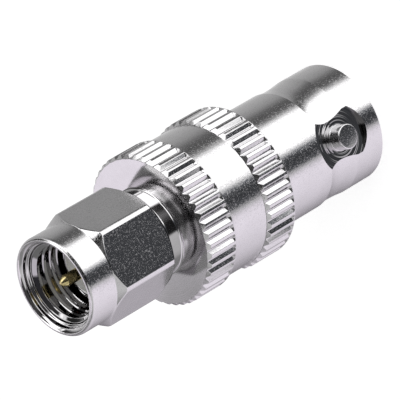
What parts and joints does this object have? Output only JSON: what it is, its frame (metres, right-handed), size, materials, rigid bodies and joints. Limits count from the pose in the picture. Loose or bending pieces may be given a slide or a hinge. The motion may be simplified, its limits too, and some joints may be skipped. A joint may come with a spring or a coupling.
{
  "type": "coax adapter",
  "caption": "Straight coax adapter joining a bayonet jack with side lugs to a threaded plug with a free-turning hex nut round a centre pin; knurled grip between.",
  "frame": {"origin": "centre of the bayonet mouth's end plane, on which the adapter stands", "axes": "+Z along the adapter's axis from the bayonet mouth to the threaded nut's rim; the two bayonet lugs lie along X"},
  "size_m": [0.0122, 0.0122, 0.0308],
  "materials": {
    "bright_nickel": "mirror",
    "spring_bronze": "satin",
    "gasket_rubber": "matte",
    "white_insulator": "satin",
    "gold_plate": "polished"
  },
  "bodies": {
    "body": {"shell": "bright_nickel", "ferrule": "bright_nickel", "snap_ring": "spring_bronze", "gasket": "gasket_rubber", "rear_insulator": "white_insulator", "front_insulator": "white_insulator", "socket_contact": "gold_plate", "pin_contact": "gold_plate"},
    "coupling_nut": {"coupling_nut": "bright_nickel"}
  },
  "joints": [
    {"name": "nut_turn", "type": "hinge", "parent": "body", "child": "coupling_nut", "pos_m": [0, 0, 0.0255], "axis": [0, 0, 1], "continuous": true}
  ]
}
